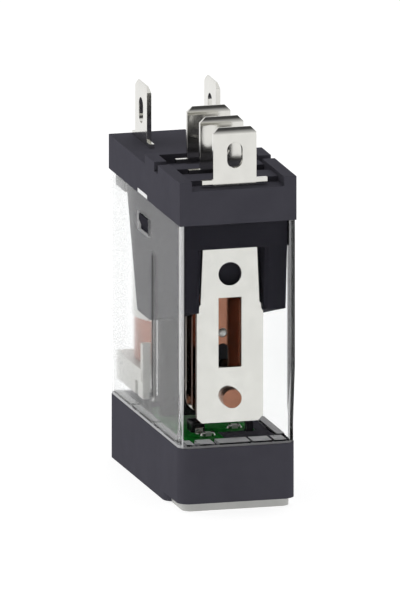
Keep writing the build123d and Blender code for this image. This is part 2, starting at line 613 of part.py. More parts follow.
with BuildPart() as coil_tape:
    post(0, COIL_DEPTH, (TAPE_Z, WINDING_TOP - 0.05), TAPE_RADIUS)
    post(0, COIL_DEPTH, (TAPE_Z, WINDING_TOP), WINDING_RADIUS + FIT, Mode.SUBTRACT)
save(coil_tape.part, "coil_tape")

# Core: headed pole at the foot, riveted into the yoke at the top
with BuildPart() as core:
    post(0, COIL_DEPTH, (POLE_Z, FLANGE_Z - FIT), POLE_RADIUS)
    post(0, COIL_DEPTH, (FLANGE_Z - FIT, SHANK_TOP), CORE_RADIUS)
    post(0, COIL_DEPTH, (SHANK_TOP, RIVETED_TOP), RIVETED_RADIUS)
save(core.part, "core")

# Yoke: top plate over the coil and a leg down its near side
with BuildPart() as yoke:
    across = (-YOKE_HALF, YOKE_HALF)
    block(across, (YOKE_DEPTH, YOKE_FAR), (YOKE_TOP - YOKE_SHEET, YOKE_TOP))
    block(across, (YOKE_DEPTH, YOKE_DEPTH + YOKE_SHEET), (ARMATURE_TOP + 0.1, YOKE_TOP - 0.95))
    outer_bend = yoke.edges().filter_by(Axis.X).group_by(Axis.Z)[-1].sort_by(Axis.Y)[0]
    fillet(outer_bend, YOKE_BEND)
    post(0, COIL_DEPTH, (FLANGE_TOP, SHANK_TOP), CORE_RADIUS + FIT, Mode.SUBTRACT)
save(yoke.part, "yoke")

# Armature: plate under the pole, with two legs up to a crossbar that pushes the card
with BuildPart() as armature:
    frame_depths = (ARM_DEPTH, ARM_DEPTH + ARM_SHEET)
    plate_z = (ARMATURE_TOP - ARMATURE_SHEET, ARMATURE_TOP)
    block((-ARMATURE_HALF, ARMATURE_HALF), (ARM_DEPTH, ARMATURE_FAR), plate_z)
    block((-ARM_HALF, ARM_HALF), frame_depths, plate_z)
    for x_range in both_sides((ARM_HALF - ARM_LEG, ARM_HALF)):
        block(x_range, frame_depths, (ARMATURE_TOP, ARM_TOP))
    block((-ARM_HALF, ARM_HALF), frame_depths, (CROSSBAR_Z, ARM_TOP))
    disc(frame_depths, NIB_HOLE_RADIUS, z=CARD_Z, mode=Mode.SUBTRACT)
    chamfer(armature.edges().filter_by(Axis.Z).group_by(Axis.Y)[-1], ARMATURE_CORNER)
save(armature.part, "armature")

# Leaf spring on the yoke's leg that holds the armature's heel up against the knife edge
with BuildPart() as armature_spring:
    leaf_face = YOKE_DEPTH - LEAF_SHEET
    block((-LEAF_HALF, LEAF_HALF), (leaf_face, YOKE_DEPTH), (LEAF_FOOT, LEAF_TOP))
    block((-LEAF_HALF, LEAF_HALF), (leaf_face - LEAF_SHEET, leaf_face), (LEAF_FOOT, LEAF_LIP))
    disc((leaf_face - LEAF_RIVET_HEIGHT, leaf_face), LEAF_RIVET_RADIUS, z=LEAF_RIVET_Z)
save(armature_spring.part, "armature_spring")

# Wires from the coil blades' tails down to the winding
with BuildPart() as coil_leads:
    for side in (-1, 1):
        post(side * COIL_BLADE_X, LEAD_DEPTH, (WINDING_TOP - FIT, TAIL_Z), LEAD_RADIUS)
save(coil_leads.part, "coil_leads")

# ---------------------------------------------------------------------------------------------
# Circuit board with the status lamp
# ---------------------------------------------------------------------------------------------

with BuildPart() as circuit_board:
    block((BOARD_LEFT, BOARD_MIDDLE), (BOARD_NEAR, BOARD_STEP_DEPTH), (BOARD_BOTTOM, BOARD_TOP))
    block((BOARD_LEFT, BOARD_RIGHT), (BOARD_STEP_DEPTH, BOARD_FAR), (BOARD_BOTTOM, BOARD_TOP))
    near_corners = circuit_board.edges().filter_by(Axis.Z).sort_by(Axis.Y)[0:2]
    chamfer(near_corners, BOARD_CORNER)
    # Notch for the test button's finger
    notch_x = (FINGER_X[0] - FINGER_NOTCH_GAP, FINGER_X[1] + FINGER_NOTCH_GAP)
    notch_depths = (BOARD_STEP_DEPTH - 0.1, FINGER_DEPTHS[1] + FINGER_NOTCH_GAP)
    block(notch_x, notch_depths, (BOARD_BOTTOM, BOARD_TOP), Mode.SUBTRACT)
save(circuit_board.part, "circuit_board")

# Lamp under the board, pointing at its lens
with BuildPart() as lamp:
    post(LENS_X, LENS_DEPTH, (LAMP_FOOT, LAMP_COLLAR), LAMP_RADIUS)
    post(LENS_X, LENS_DEPTH, (LAMP_COLLAR, BOARD_BOTTOM), LAMP_COLLAR_RADIUS)
    fillet(lamp.edges().group_by(Axis.Z)[0], LAMP_RADIUS - 0.1)
save(lamp.part, "lamp")

with BuildPart() as diode:
    block(DIODE_X, DIODE_DEPTHS, (BOARD_TOP, BOARD_TOP + DIODE_HEIGHT))
    fillet(diode.edges().filter_by(Axis.Z), 0.3)
    fillet(diode.edges().group_by(Axis.Z)[-1], 0.25)
save(diode.part, "diode")

with BuildPart() as chip_resistors:
    for x, depth in CHIP_PLACES:
        chip_x = (x - CHIP_HALF_LENGTH, x + CHIP_HALF_LENGTH)
        chip_depths = (depth - CHIP_HALF_WIDTH, depth + CHIP_HALF_WIDTH)
        block(chip_x, chip_depths, (BOARD_TOP, BOARD_TOP + CHIP_HEIGHT))
save(chip_resistors.part, "chip_resistors")

# Pins from the board up to the bobbin's left cheek
with BuildPart() as board_pins:
    for depth, top in PIN_PLACES:
        block(PIN_X, (depth - PIN_HALF, depth + PIN_HALF), (BOARD_TOP, top))
save(board_pins.part, "board_pins")

# ---------------------------------------------------------------------------------------------
# End cap with lens, flag, test button and flap
# ---------------------------------------------------------------------------------------------

with BuildPart() as end_cap:
    with BuildSketch(Plane.XY.offset(STEP_HEIGHT)):
        RectangleRounded(WIDTH, LENGTH, CORNER_LOW)
    extrude(amount=CAP_TOP - STEP_HEIGHT)
    with BuildSketch(Plane.XY):
        with Locations((0, at((STEP_DEPTH + LENGTH) / 2))):
            RectangleRounded(WIDTH, LENGTH - STEP_DEPTH, CORNER_LOW)
    extrude(amount=STEP_HEIGHT)
    # Room under the board, and the seat of the board
    block(BOARD_ROOM_X, BOARD_ROOM_DEPTHS, (CAP_FLOOR, BOARD_BOTTOM), Mode.SUBTRACT)
    seat = (BOARD_BOTTOM, CAP_TOP)
    near_seat = (BOARD_NEAR - SEAT_GAP, BOARD_STEP_DEPTH)
    far_seat = (BOARD_STEP_DEPTH - SEAT_GAP, BOARD_FAR + SEAT_GAP)
    block((BOARD_LEFT - SEAT_GAP, BOARD_MIDDLE + SEAT_GAP), near_seat, seat, Mode.SUBTRACT)
    block((BOARD_LEFT - SEAT_GAP, BOARD_RIGHT + SEAT_GAP), far_seat, seat, Mode.SUBTRACT)
    # Slot for the test button's finger and the hole for its head
    block((FINGER_X[0] - 0.1, FINGER_X[1] + 0.1), (6.5, 7.5), seat, Mode.SUBTRACT)
    head_depths = (BUTTON_DEPTH - 1.05, BUTTON_DEPTH + 1.05)
    head_x = (-HEAD_HALF - 0.05, HEAD_HALF + 0.05)
    block(head_x, head_depths, (STEP_HEIGHT, CAP_FLOOR), Mode.SUBTRACT)
    # Flag pocket, open slots for its pin, and the window below it
    pocket_x = (-FLAG_POCKET_HALF, FLAG_POCKET_HALF)
    block(pocket_x, FLAG_POCKET_DEPTHS, (FLAG_POCKET_Z, CAP_TOP), Mode.SUBTRACT)
    pin_slot = (FLAG_DEPTH - FLAG_PIN_RADIUS, FLAG_DEPTH + FLAG_PIN_RADIUS)
    pin_x = (-FLAG_PIN_HALF, FLAG_PIN_HALF)
    block(pin_x, pin_slot, (FLAG_AXIS_Z, CAP_TOP), Mode.SUBTRACT)
    cross_pin(pin_x, FLAG_PIN_RADIUS, FLAG_DEPTH, FLAG_AXIS_Z, Mode.SUBTRACT)
    window_x = (-FLAG_WINDOW_HALF, FLAG_WINDOW_HALF)
    block(window_x, FLAG_WINDOW_DEPTHS, (0, FLAG_POCKET_Z), Mode.SUBTRACT)
    # Lens hole
    post(LENS_X, LENS_DEPTH, (0, CAP_FLOOR), LENS_RADIUS, Mode.SUBTRACT)
    # Slots for the cover's tongues
    for x_range in both_sides((TONGUE_X[0] - TAB_GAP, TONGUE_X[1] + TAB_GAP)):
        for near, far in TONGUE_DEPTHS:
            slot_z = (TONGUE_FOOT - 0.1, CAP_TOP)
            block(x_range, (near - TAB_GAP, far + TAB_GAP), slot_z, Mode.SUBTRACT)
    # Knuckles for the flap's pin
    knuckle_foot = FLAP_AXIS_Z - KNUCKLE_RADIUS
    knuckle_near = FLAP_AXIS_DEPTH - KNUCKLE_RADIUS
    for x_range in both_sides(KNUCKLE_X):
        block(x_range, (FLAP_AXIS_DEPTH, STEP_DEPTH + 0.1), (knuckle_foot, STEP_HEIGHT))
        cross_pin(x_range, KNUCKLE_RADIUS, FLAP_AXIS_DEPTH, FLAP_AXIS_Z)
        block(x_range, (knuckle_near, FLAP_AXIS_DEPTH), (FLAP_AXIS_Z, STEP_HEIGHT))
        cross_pin(x_range, FLAP_PIN_RADIUS, FLAP_AXIS_DEPTH, FLAP_AXIS_Z, Mode.SUBTRACT)
save(end_cap.part, "end_cap")

with BuildPart() as lamp_lens:
    post(LENS_X, LENS_DEPTH, (0.05, 2.9), LENS_RADIUS - 0.03)
    fillet(lamp_lens.edges().group_by(Axis.Z)[0], 0.3)
save(lamp_lens.part, "lamp_lens")

with BuildPart() as flag_window:
    near, far = FLAG_WINDOW_DEPTHS
    pane_x = (-FLAG_WINDOW_HALF + 0.03, FLAG_WINDOW_HALF - 0.03)
    block(pane_x, (near + 0.03, far - 0.03), (0.05, FLAG_POCKET_Z - 0.2))
    fillet(flag_window.edges().group_by(Axis.Z)[0], 0.15)
save(flag_window.part, "flag_window")

# Flag: rocks behind its window as the armature moves
with BuildPart() as flag:
    cross_pin((-FLAG_HUB_HALF, FLAG_HUB_HALF), FLAG_HUB_RADIUS, FLAG_DEPTH, FLAG_AXIS_Z)
    axis_y = at(FLAG_DEPTH)
    near_foot, far_foot = (axis_y - FLAG_FACE_HALF, FLAG_FACE_Z), (axis_y + FLAG_FACE_HALF, FLAG_FACE_Z)
    near_neck, far_neck = (axis_y - FLAG_NECK_HALF, FLAG_AXIS_Z), (axis_y + FLAG_NECK_HALF, FLAG_AXIS_Z)
    with BuildSketch(Plane.YZ.offset(-FLAG_HALF)):
        with BuildLine():
            Polyline(near_foot, near_neck, far_neck, far_foot)
            RadiusArc(far_foot, near_foot, FLAG_FACE_RADIUS)
        make_face()
    extrude(amount=2 * FLAG_HALF)
    arm_x, arm_foot = (-FLAG_ARM_HALF, FLAG_ARM_HALF), FLAG_AXIS_Z - FLAG_ARM_SHEET / 2
    arm_top = arm_foot + FLAG_ARM_SHEET
    block(arm_x, (FLAG_DEPTH, FLAG_ARM_FAR), (arm_foot, arm_top))
    block(arm_x, (FLAG_ARM_FAR - FLAG_ARM_SHEET, FLAG_ARM_FAR), (arm_top, FLAG_ARM_TOP))
    bore_x = (-FLAG_HUB_HALF - 0.1, FLAG_HUB_HALF + 0.1)
    cross_pin(bore_x, FLAG_PIN_RADIUS + 0.03, FLAG_DEPTH, FLAG_AXIS_Z, Mode.SUBTRACT)
save(flag.part, "flag")

with BuildPart() as flag_pin:
    cross_pin((-FLAG_PIN_HALF + 0.05, FLAG_PIN_HALF - 0.05), FLAG_PIN_RADIUS, FLAG_DEPTH, FLAG_AXIS_Z)
save(flag_pin.part, "flag_pin")

# Test button: head under the flap, and a finger that rises behind the foot of the spring
with BuildPart() as test_button:
    head_depths = (BUTTON_DEPTH - 1.0, BUTTON_DEPTH + 1.0)
    collar_depths = (BUTTON_DEPTH - 1.2, BUTTON_DEPTH + 1.3)
    collar_foot, collar_top = HEAD_COLLAR_Z
    block((-HEAD_HALF, HEAD_HALF), head_depths, (HEAD_Z, collar_foot))
    block((-HEAD_COLLAR_HALF, HEAD_COLLAR_HALF), collar_depths, HEAD_COLLAR_Z)
    block((HEAD_COLLAR_HALF, FINGER_X[1]), ARM_DEPTHS, HEAD_COLLAR_Z)
    block(FINGER_X, (ARM_DEPTHS[0], FINGER_DEPTHS[1]), HEAD_COLLAR_Z)
    block(FINGER_X, FINGER_DEPTHS, (collar_top, FINGER_TOP))
    post(0, BUTTON_DEPTH, (collar_top, SPRING_PEG_TOP), SPRING_PEG_RADIUS)
    finger_tip = test_button.edges().filter_by(Axis.X).group_by(Axis.Z)[-1].sort_by(Axis.Y)[0]
    chamfer(finger_tip, FINGER_CHAMFER)
save(test_button.part, "test_button")

with BuildPart() as button_spring:
    with BuildLine(Plane.XY.offset(HELIX_Z)) as coil_path:
        with Locations((0, at(BUTTON_DEPTH))):
            Helix(pitch=HELIX_PITCH, height=HELIX_HEIGHT, radius=HELIX_RADIUS)
    with BuildSketch(Plane(origin=coil_path.line @ 0, z_dir=coil_path.line % 0)):
        Circle(HELIX_WIRE)
    sweep(is_frenet=True)
save(button_spring.part, "button_spring")

# Flap under the near end, with notches for the end cap's knuckles
with BuildPart() as flap:
    with BuildSketch(Plane.XY.offset(FLAP_FOOT)):
        with Locations((0, at((FLAP_NEAR + FLAP_AXIS_DEPTH) / 2))):
            Rectangle(2 * FLAP_HALF, FLAP_AXIS_DEPTH - FLAP_NEAR)
    extrude(amount=FLAP_SHEET)
    fillet(flap.edges().filter_by(Axis.Z).group_by(Axis.Y)[0], FLAP_CORNER)
    barrel_x = (-FLAP_HALF, FLAP_HALF)
    cross_pin(barrel_x, FLAP_BARREL_RADIUS, FLAP_AXIS_DEPTH, FLAP_AXIS_Z)
    for x_range in both_sides(FLAP_NOTCH_X):
        block(x_range, FLAP_NOTCH_DEPTHS, (0, STEP_HEIGHT), Mode.SUBTRACT)
    cross_pin(barrel_x, FLAP_PIN_RADIUS + FIT, FLAP_AXIS_DEPTH, FLAP_AXIS_Z, Mode.SUBTRACT)
save(flap.part, "flap")

with BuildPart() as flap_pin:
    cross_pin((-FLAP_PIN_HALF, FLAP_PIN_HALF), FLAP_PIN_RADIUS, FLAP_AXIS_DEPTH, FLAP_AXIS_Z)
save(flap_pin.part, "flap_pin")
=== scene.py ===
import math
import random

import bmesh
import bpy
from mathutils import Matrix, Vector


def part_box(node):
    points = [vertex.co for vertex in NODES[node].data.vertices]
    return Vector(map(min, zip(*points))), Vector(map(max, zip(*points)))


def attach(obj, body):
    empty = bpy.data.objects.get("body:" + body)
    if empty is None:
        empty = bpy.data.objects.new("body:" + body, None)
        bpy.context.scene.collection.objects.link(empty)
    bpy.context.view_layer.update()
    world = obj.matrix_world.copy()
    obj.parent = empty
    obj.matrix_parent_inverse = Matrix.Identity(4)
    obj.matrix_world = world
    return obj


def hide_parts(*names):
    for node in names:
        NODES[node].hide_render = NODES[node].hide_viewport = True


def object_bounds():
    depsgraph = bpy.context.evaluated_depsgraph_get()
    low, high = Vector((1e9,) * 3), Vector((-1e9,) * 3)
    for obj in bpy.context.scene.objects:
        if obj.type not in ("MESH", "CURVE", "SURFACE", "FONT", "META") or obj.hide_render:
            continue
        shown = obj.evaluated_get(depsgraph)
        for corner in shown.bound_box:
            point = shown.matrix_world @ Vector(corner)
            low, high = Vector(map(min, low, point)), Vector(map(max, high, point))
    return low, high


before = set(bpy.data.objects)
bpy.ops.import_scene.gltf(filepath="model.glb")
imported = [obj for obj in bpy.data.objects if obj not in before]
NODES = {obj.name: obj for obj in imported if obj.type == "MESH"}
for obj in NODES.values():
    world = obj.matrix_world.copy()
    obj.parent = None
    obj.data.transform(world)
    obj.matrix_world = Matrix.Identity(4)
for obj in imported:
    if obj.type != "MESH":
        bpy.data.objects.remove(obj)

# Slim plug-in relay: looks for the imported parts, and the fine pieces that go on them.
# Everything is in metres, in the relay's own frame: X across, Y along, Z up to the blades.

MM = 0.001
START_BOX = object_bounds()
NEAR = START_BOX[0][1]

# Height at which the header meets the cover
SEAM_Z = 30.85 * MM

# Enamelled wire: pitch of its turns on the coil, and radius of its ends
WIRE = 0.15 * MM
LEAD_RADIUS = 0.07 * MM


def spot(x, depth, z):
    """Point given in millimetres: across, behind the near end, and up."""
    return Vector((x * MM, NEAR + depth * MM, z * MM))


def corners(node):
    """Lowest corner, highest corner and middle of a CAD node's box."""
    low, high = (Vector(corner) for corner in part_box(node))
    return low, high, (low + high) / 2


# ---------------------------------------------------------------------------------------------
# Materials
# ---------------------------------------------------------------------------------------------

# Half the width over which one look turns into another
BORDER = 0.02 * MM

# Places of the factor, the two colours and the result on a colour mix node
MIX_FACTOR, MIX_FIRST, MIX_SECOND, MIX_RESULT = 0, 6, 7, 2

# Colours that more than one material uses. The third dark colour is painted shade for the header under the
# cover.
DARK, DARK_SHADE, DARK_PAINTED_SHADE = (77, 76, 84), (74, 73, 81), (46, 45, 52)
# The copper edge colour is painted shade on the copper's sides under the cover.
COPPER, COPPER_SHADE, COPPER_EDGE_SHADE = (148, 105, 86), (140, 98, 80), (110, 74, 58)


def srgb(red, green, blue):
    """Linear colour from 0 to 255 screen values."""
    def linear(value):
        value /= 255
        return value / 12.92 if value <= 0.04045 else ((value + 0.055) / 1.055) ** 2.4
    return (linear(red), linear(green), linear(blue), 1.0)


class Look:
    """A material, with the few node steps that every material here is built from."""

    def __init__(self, name, **sockets):
        self.material = bpy.data.materials.new(name)
        self.material.use_nodes = True
        self.nodes = self.material.node_tree.nodes
        self.links = self.material.node_tree.links
        self.shader = self.nodes["Principled BSDF"]
        self.place = self.nodes.new("ShaderNodeTexCoord").outputs["Object"]
        for socket, value in sockets.items():
            self.shader.inputs[socket.replace("_", " ")].default_value = value

    def node(self, kind, inputs=(), **settings):
        """New node, with its inputs given as values or as sockets to link from."""
        made = self.nodes.new(kind)
        for setting, value in settings.items():
            setattr(made, setting, value)
        for socket, value in dict(inputs).items():
            if isinstance(value, bpy.types.NodeSocket):
                self.links.new(value, made.inputs[socket])
            else:
                made.inputs[socket].default_value = value
        return made

    def stretched(self, scale):
        """Object coordinates scaled by a different amount along each axis."""
        return self.node("ShaderNodeMapping", {"Vector": self.place, "Scale": scale}).outputs[0]

    def noise(self, size, detail=3.0, where=None):
        """Noise with features about this size in metres, or of size 1 in given coordinates."""
        scale = 1.0 if where else 1.0 / size
        inputs = {"Vector": where or self.place, "Scale": scale, "Detail": detail}
        return self.node("ShaderNodeTexNoise", inputs).outputs["Fac"]

    def ramp(self, value, low, high, low_at=0.35, high_at=0.65):
        """Colour that goes from low to high as the value rises."""
        node = self.node("ShaderNodeValToRGB", {"Fac": value})
        first, last = node.color_ramp.elements
        first.position, first.color = low_at, low
        last.position, last.color = high_at, high
        return node.outputs["Color"]

    def spread(self, value, low, high, start=0.0, end=1.0):
        """Number that goes from low to high as the value goes from start to end."""
        inputs = {"Value": value, "From Min": start, "From Max": end, "To Min": low, "To Max": high}
        return self.node("ShaderNodeMapRange", inputs).outputs["Result"]

    def math(self, operation, first, second=0.0):
        """One arithmetic step."""
        return self.node("ShaderNodeMath", {0: first, 1: second}, operation=operation).outputs[0]

    def blend(self, share, first, second):
        """Colour that goes from first to second as the share rises."""
        inputs = {MIX_FACTOR: share, MIX_FIRST: first, MIX_SECOND: second}
        return self.node("ShaderNodeMix", inputs, data_type="RGBA").outputs[MIX_RESULT]

    def part(self, axis):
        """One object coordinate."""
        return self.node("ShaderNodeSeparateXYZ", {0: self.place}).outputs[axis]

    def band(self, axis, low, high):
        """1 between two places along an axis, and 0 outside them."""
        place = self.part(axis)
        rise = self.spread(place, 0.0, 1.0, low - BORDER, low + BORDER)
        return self.math("MULTIPLY", rise, self.spread(place, 1.0, 0.0, high - BORDER, high + BORDER))

    def zone(self, axis, span):
        """Band between two places in millimetres, which along Y are depths behind the near end."""
        start = NEAR if axis == "Y" else 0.0
        return self.band(axis, start + span[0] * MM, start + span[1] * MM)

    def product(self, *values):
        """All the values multiplied together."""
        result = values[0]
        for value in values[1:]:
            result = self.math("MULTIPLY", result, value)
        return result

    def total(self, *values):
        """All the values added together."""
        result = values[0]
        for value in values[1:]:
            result = self.math("ADD", result, value)
        return result

    def facing(self, axis):
        """How far the surface looks along an axis, from -1 to 1."""
        normal = self.node("ShaderNodeNewGeometry").outputs["Normal"]
        return self.node("ShaderNodeSeparateXYZ", {0: normal}).outputs[axis]

    def sideways(self):
        """1 on faces that look along X, and 0 on the others."""
        return self.spread(self.math("ABSOLUTE", self.facing("X")), 0.0, 1.0, 0.6, 0.95)

    def upward(self):
        """1 on faces that look up, and 0 on the others."""
        return self.spread(self.facing("Z"), 0.0, 1.0, 0.6, 0.9)

    def soft_edges(self, radius):
        """Normal that is rounded over each edge."""
        return self.node("ShaderNodeBevel", {"Radius": radius}, samples=4).outputs[0]

    def edge_share(self, rounded):
        """0 on the flat and up to 1 at an edge."""
        true_normal = self.node("ShaderNodeNewGeometry").outputs["True Normal"]
        inputs = {0: rounded, 1: true_normal}
        along = self.node("ShaderNodeVectorMath", inputs, operation="DOT_PRODUCT").outputs["Value"]
        return self.spread(along, 1.0, 0.0, 0.85, 1.0)

    def bump(self, value, height, rounded=None):
        """Relief of the given height in metres."""
        inputs = {"Height": value, "Distance": height}
        if rounded:
            inputs["Normal"] = rounded
        self.feed(self.node("ShaderNodeBump", inputs).outputs["Normal"], "Normal")

    def feed(self, value, socket):
        """Drive one of the shader's sockets."""
        self.links.new(value, self.shader.inputs[socket])


def moulded_plastic(name, colour, shade, gloss=0.2, roughness=0.5, inner=None):
    """Moulded plastic with a fine spark-eroded grain, smoother on its edges and lighter there with wear and
    a painted highlight.
    """
    cloud_size, grain_size, grain_height, edge_radius = 2.5 * MM, 0.06 * MM, 0.002 * MM, 0.06 * MM
    least_wear_highlight, most_wear_highlight, wear_highlight_gain, wear_highlight_lift, wear_polish = 0.15, 0.7, 1.5, 0.004, 0.12
    look = Look(name, Specular_IOR_Level=gloss)
    cloud = look.noise(cloud_size, 4.0)
    grain = look.noise(grain_size, 2.0)
    rounded = look.soft_edges(edge_radius)
    edge = look.edge_share(rounded)
    body = look.ramp(cloud, shade, colour)
    rough = look.spread(cloud, roughness - 0.05, roughness + 0.06)
    # Below the seam, under the cover, the body takes the darker given colour: painted shade.
    if inner:
        below = look.spread(look.part("Z"), 1.0, 0.0, SEAM_Z - BORDER, SEAM_Z + BORDER)
        body = look.blend(below, body, inner)
    # Edge colour: lighter with wear and with a painted highlight.
    lighter = tuple(min(1.0, channel * wear_highlight_gain + wear_highlight_lift) for channel in colour[:3]) + (1.0,)
    worn_and_highlit = look.math("MULTIPLY", edge, look.spread(cloud, least_wear_highlight, most_wear_highlight))
    look.feed(look.blend(worn_and_highlit, body, lighter), "Base Color")
    look.feed(look.math("SUBTRACT", rough, look.math("MULTIPLY", edge, wear_polish)), "Roughness")
    look.bump(grain, grain_height, rounded)
    return look.material


def plated_metal(name, colour, shade, roughness=0.06, grain=(0.2, 3.0, 3.0), bare_and_shaded_edge=None):
    """Bright plated sheet metal, with faint rolling marks and small stains; given an edge colour, its
    sideways faces under the cover take that colour, as bare cut edges with painted shade on them.
    """
    cloud_size, mark_height, edge_radius = 1.6 * MM, 0.0003 * MM, 0.03 * MM
    bare_and_shaded_top, bare_roughness = SEAM_Z + 0.1 * MM, 0.2
    look = Look(name, Metallic=1.0)
    scale = tuple(1.0 / (size * MM) for size in grain)
    marks = look.noise(1.0, 3.0, look.stretched(scale))
    cloud = look.noise(cloud_size, 5.0)
    body = look.ramp(cloud, shade, colour)
    stains = look.spread(cloud, roughness - 0.01, roughness + 0.04)
    rough = look.total(look.spread(marks, -0.02, 0.03), stains)
    # Sideways faces below the seam take the edge colour: bare metal on cut edges, darkened by painted
    # shade.
    if bare_and_shaded_edge:
        below = look.spread(look.part("Z"), 1.0, 0.0, SEAM_Z, bare_and_shaded_top)
        bare_and_shaded = look.math("MULTIPLY", look.sideways(), below)
        body = look.blend(bare_and_shaded, body, bare_and_shaded_edge)
        rough = look.total(rough, look.math("MULTIPLY", bare_and_shaded, bare_roughness))
    look.feed(body, "Base Color")
    look.feed(rough, "Roughness")
    look.bump(marks, mark_height, look.soft_edges(edge_radius))
    return look.material


def contact_metal(name, colour, shade, silver_from, silver_to):
    """Copper rivet with silver on the face that makes contact, between two depths along Y."""
    cloud_size, scratch_size, scratch_height = 0.8 * MM, (0.05 * MM, 2 * MM, 0.4 * MM), 0.0008 * MM
    edge_radius = 0.05 * MM
    silver_colour = srgb(212, 210, 205)
    look = Look(name, Metallic=1.0)
    cloud = look.noise(cloud_size, 4.0)
    scratches = look.noise(1.0, 2.0, look.stretched(tuple(1 / size for size in scratch_size)))
    silver = look.band("Y", silver_from, silver_to)
    look.feed(look.blend(silver, look.ramp(cloud, shade, colour), silver_colour), "Base Color")
    look.feed(look.spread(cloud, 0.12, 0.22), "Roughness")
    look.bump(scratches, scratch_height, look.soft_edges(edge_radius))
    return look.material


def clear_plastic(name, tint, roughness, ior):
    """Clear moulded plastic with faint flow marks."""
    flow_size, polish_size, flow_gain = 1.5 * MM, 0.3 * MM, 1.03
    look = Look(name, IOR=ior, Transmission_Weight=1.0)
    flow = look.noise(flow_size, 3.0)
    streak = tuple(min(1.0, channel * flow_gain) for channel in tint[:3]) + (1.0,)
    look.feed(look.ramp(flow, tint, streak), "Base Color")
    look.feed(look.spread(look.noise(polish_size, 2.0), roughness * 0.5, roughness * 1.5), "Roughness")
    return look.material


# Moulded places on the cover, in millimetres: across, behind the near end, and up
COVER_NEAR_WALL = (-1.0, 0.5)
COVER_LEFT_CORNER, COVER_RIGHT_CORNER = (-7, -5.87), (5.43, 7)
COVER_RIB_DEPTHS, COVER_RIB_Z = (10.7, 11.75), (10, 25.3)
WINDOW_EDGE_DEPTHS, WINDOW_EDGE_Z = (17.0, 17.2), (26.8, 28.9)
WINDOW_FLOOR_DEPTHS, WINDOW_FLOOR_Z = (12.8, 17.0), (26.8, 26.95)
FOOT_LEDGE_Z, FOOT_NEAR_Z, FOOT_SIDE_Z = (6.0, 7.4), (6.0, 7.1), (6.0, 7.15)
HAZE_DEPTHS = (18, 25)

# How much each place scatters light: 0 is clear and 1 is opaque. On the ledge and the near-left corner the
# satin makes a painted highlight, and on the foot it carries painted shade.
LEDGE_HIGHLIGHT_SATIN, NEAR_FOOT_SATIN, SIDE_FOOT_SATIN = 0.8, 0.7, 0.8
LEFT_CORNER_LIGHT_SATIN, TAB_SATIN = 0.55, 0.9
FROST_SATIN, FROST_ON_RIGHT, FROST_ON_RIB, HAZE_SATIN = (0.01, 0.11), 0.2, 0.3, 0.2

# How light each tinted place is: the near-right corner, the line along the left rib and the foot are
# painted shade, and the ledge is a painted highlight
RIGHT_CORNER_SHADE_GREY, LEDGE_HIGHLIGHT_GREY, NEAR_FOOT_SHADE_GREY, SIDE_FOOT_SHADE_GREY, RIB_SHADE_GREY = 0.2, 0.85, 0.3, 0.62, 0.45


